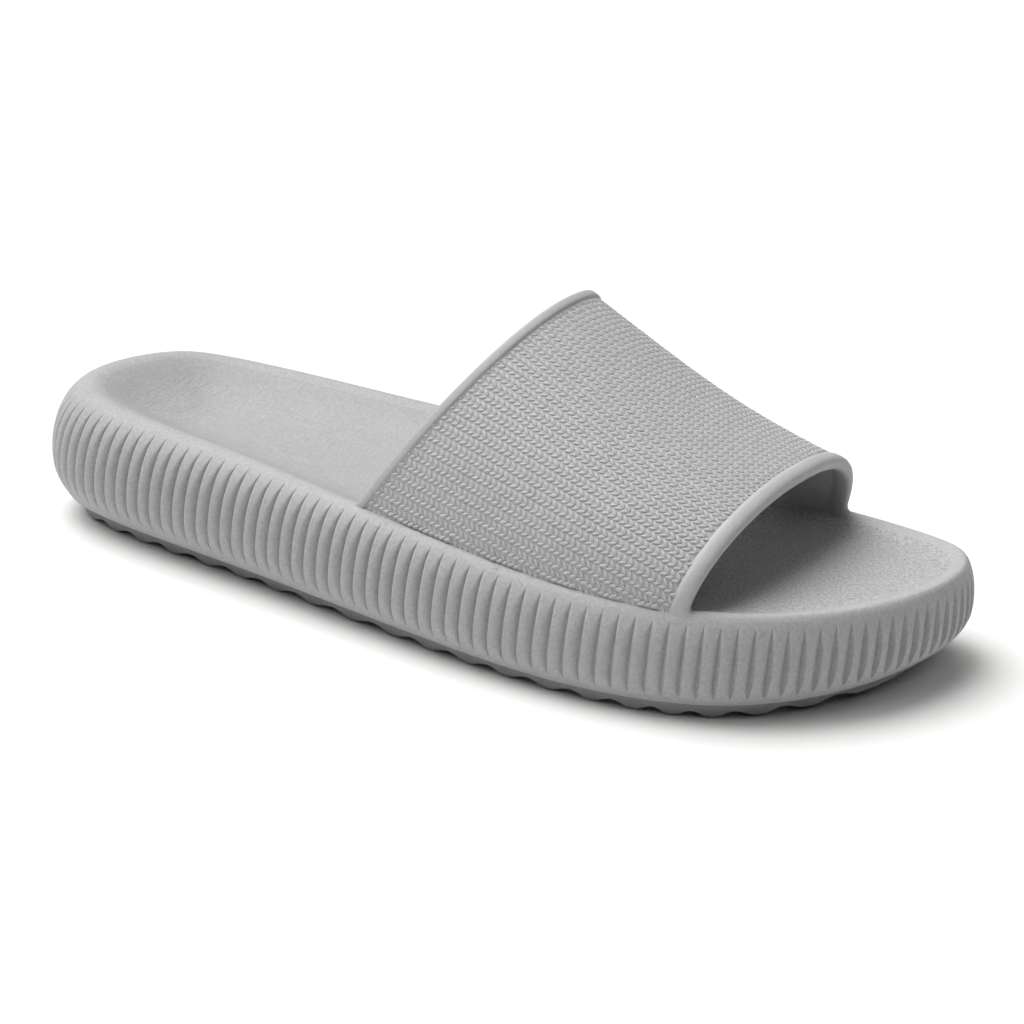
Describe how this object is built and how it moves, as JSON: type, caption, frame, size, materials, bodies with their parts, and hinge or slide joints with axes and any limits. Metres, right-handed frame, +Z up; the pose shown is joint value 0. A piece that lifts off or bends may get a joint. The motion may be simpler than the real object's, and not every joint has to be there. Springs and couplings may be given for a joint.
{
  "type": "platform slipper",
  "caption": "Right-foot platform slipper: thick ribbed foam sole with rolled rim and dished footbed, lugged tread and a wide knit-textured strap, open at toe and heel.",
  "frame": {"origin": "on the floor under the middle of the sole's length and width", "axes": "+X from heel to toe, +Y to the inner side of the foot, +Z up"},
  "size_m": [0.28, 0.114, 0.0879],
  "materials": {
    "sole_foam": "matt moulded foam, light grey, faintly mottled",
    "tread_foam": "matt moulded foam, light grey",
    "footbed_foam": "matt foam with a fine leather-like grain, light grey",
    "strap_foam": "matt moulded foam with a knit relief and smooth rolled edges, light grey"
  },
  "bodies": {
    "root": {"sole": "sole_foam", "outsole": "tread_foam", "insole": "footbed_foam", "upper": "strap_foam"}
  },
  "joints": []
}
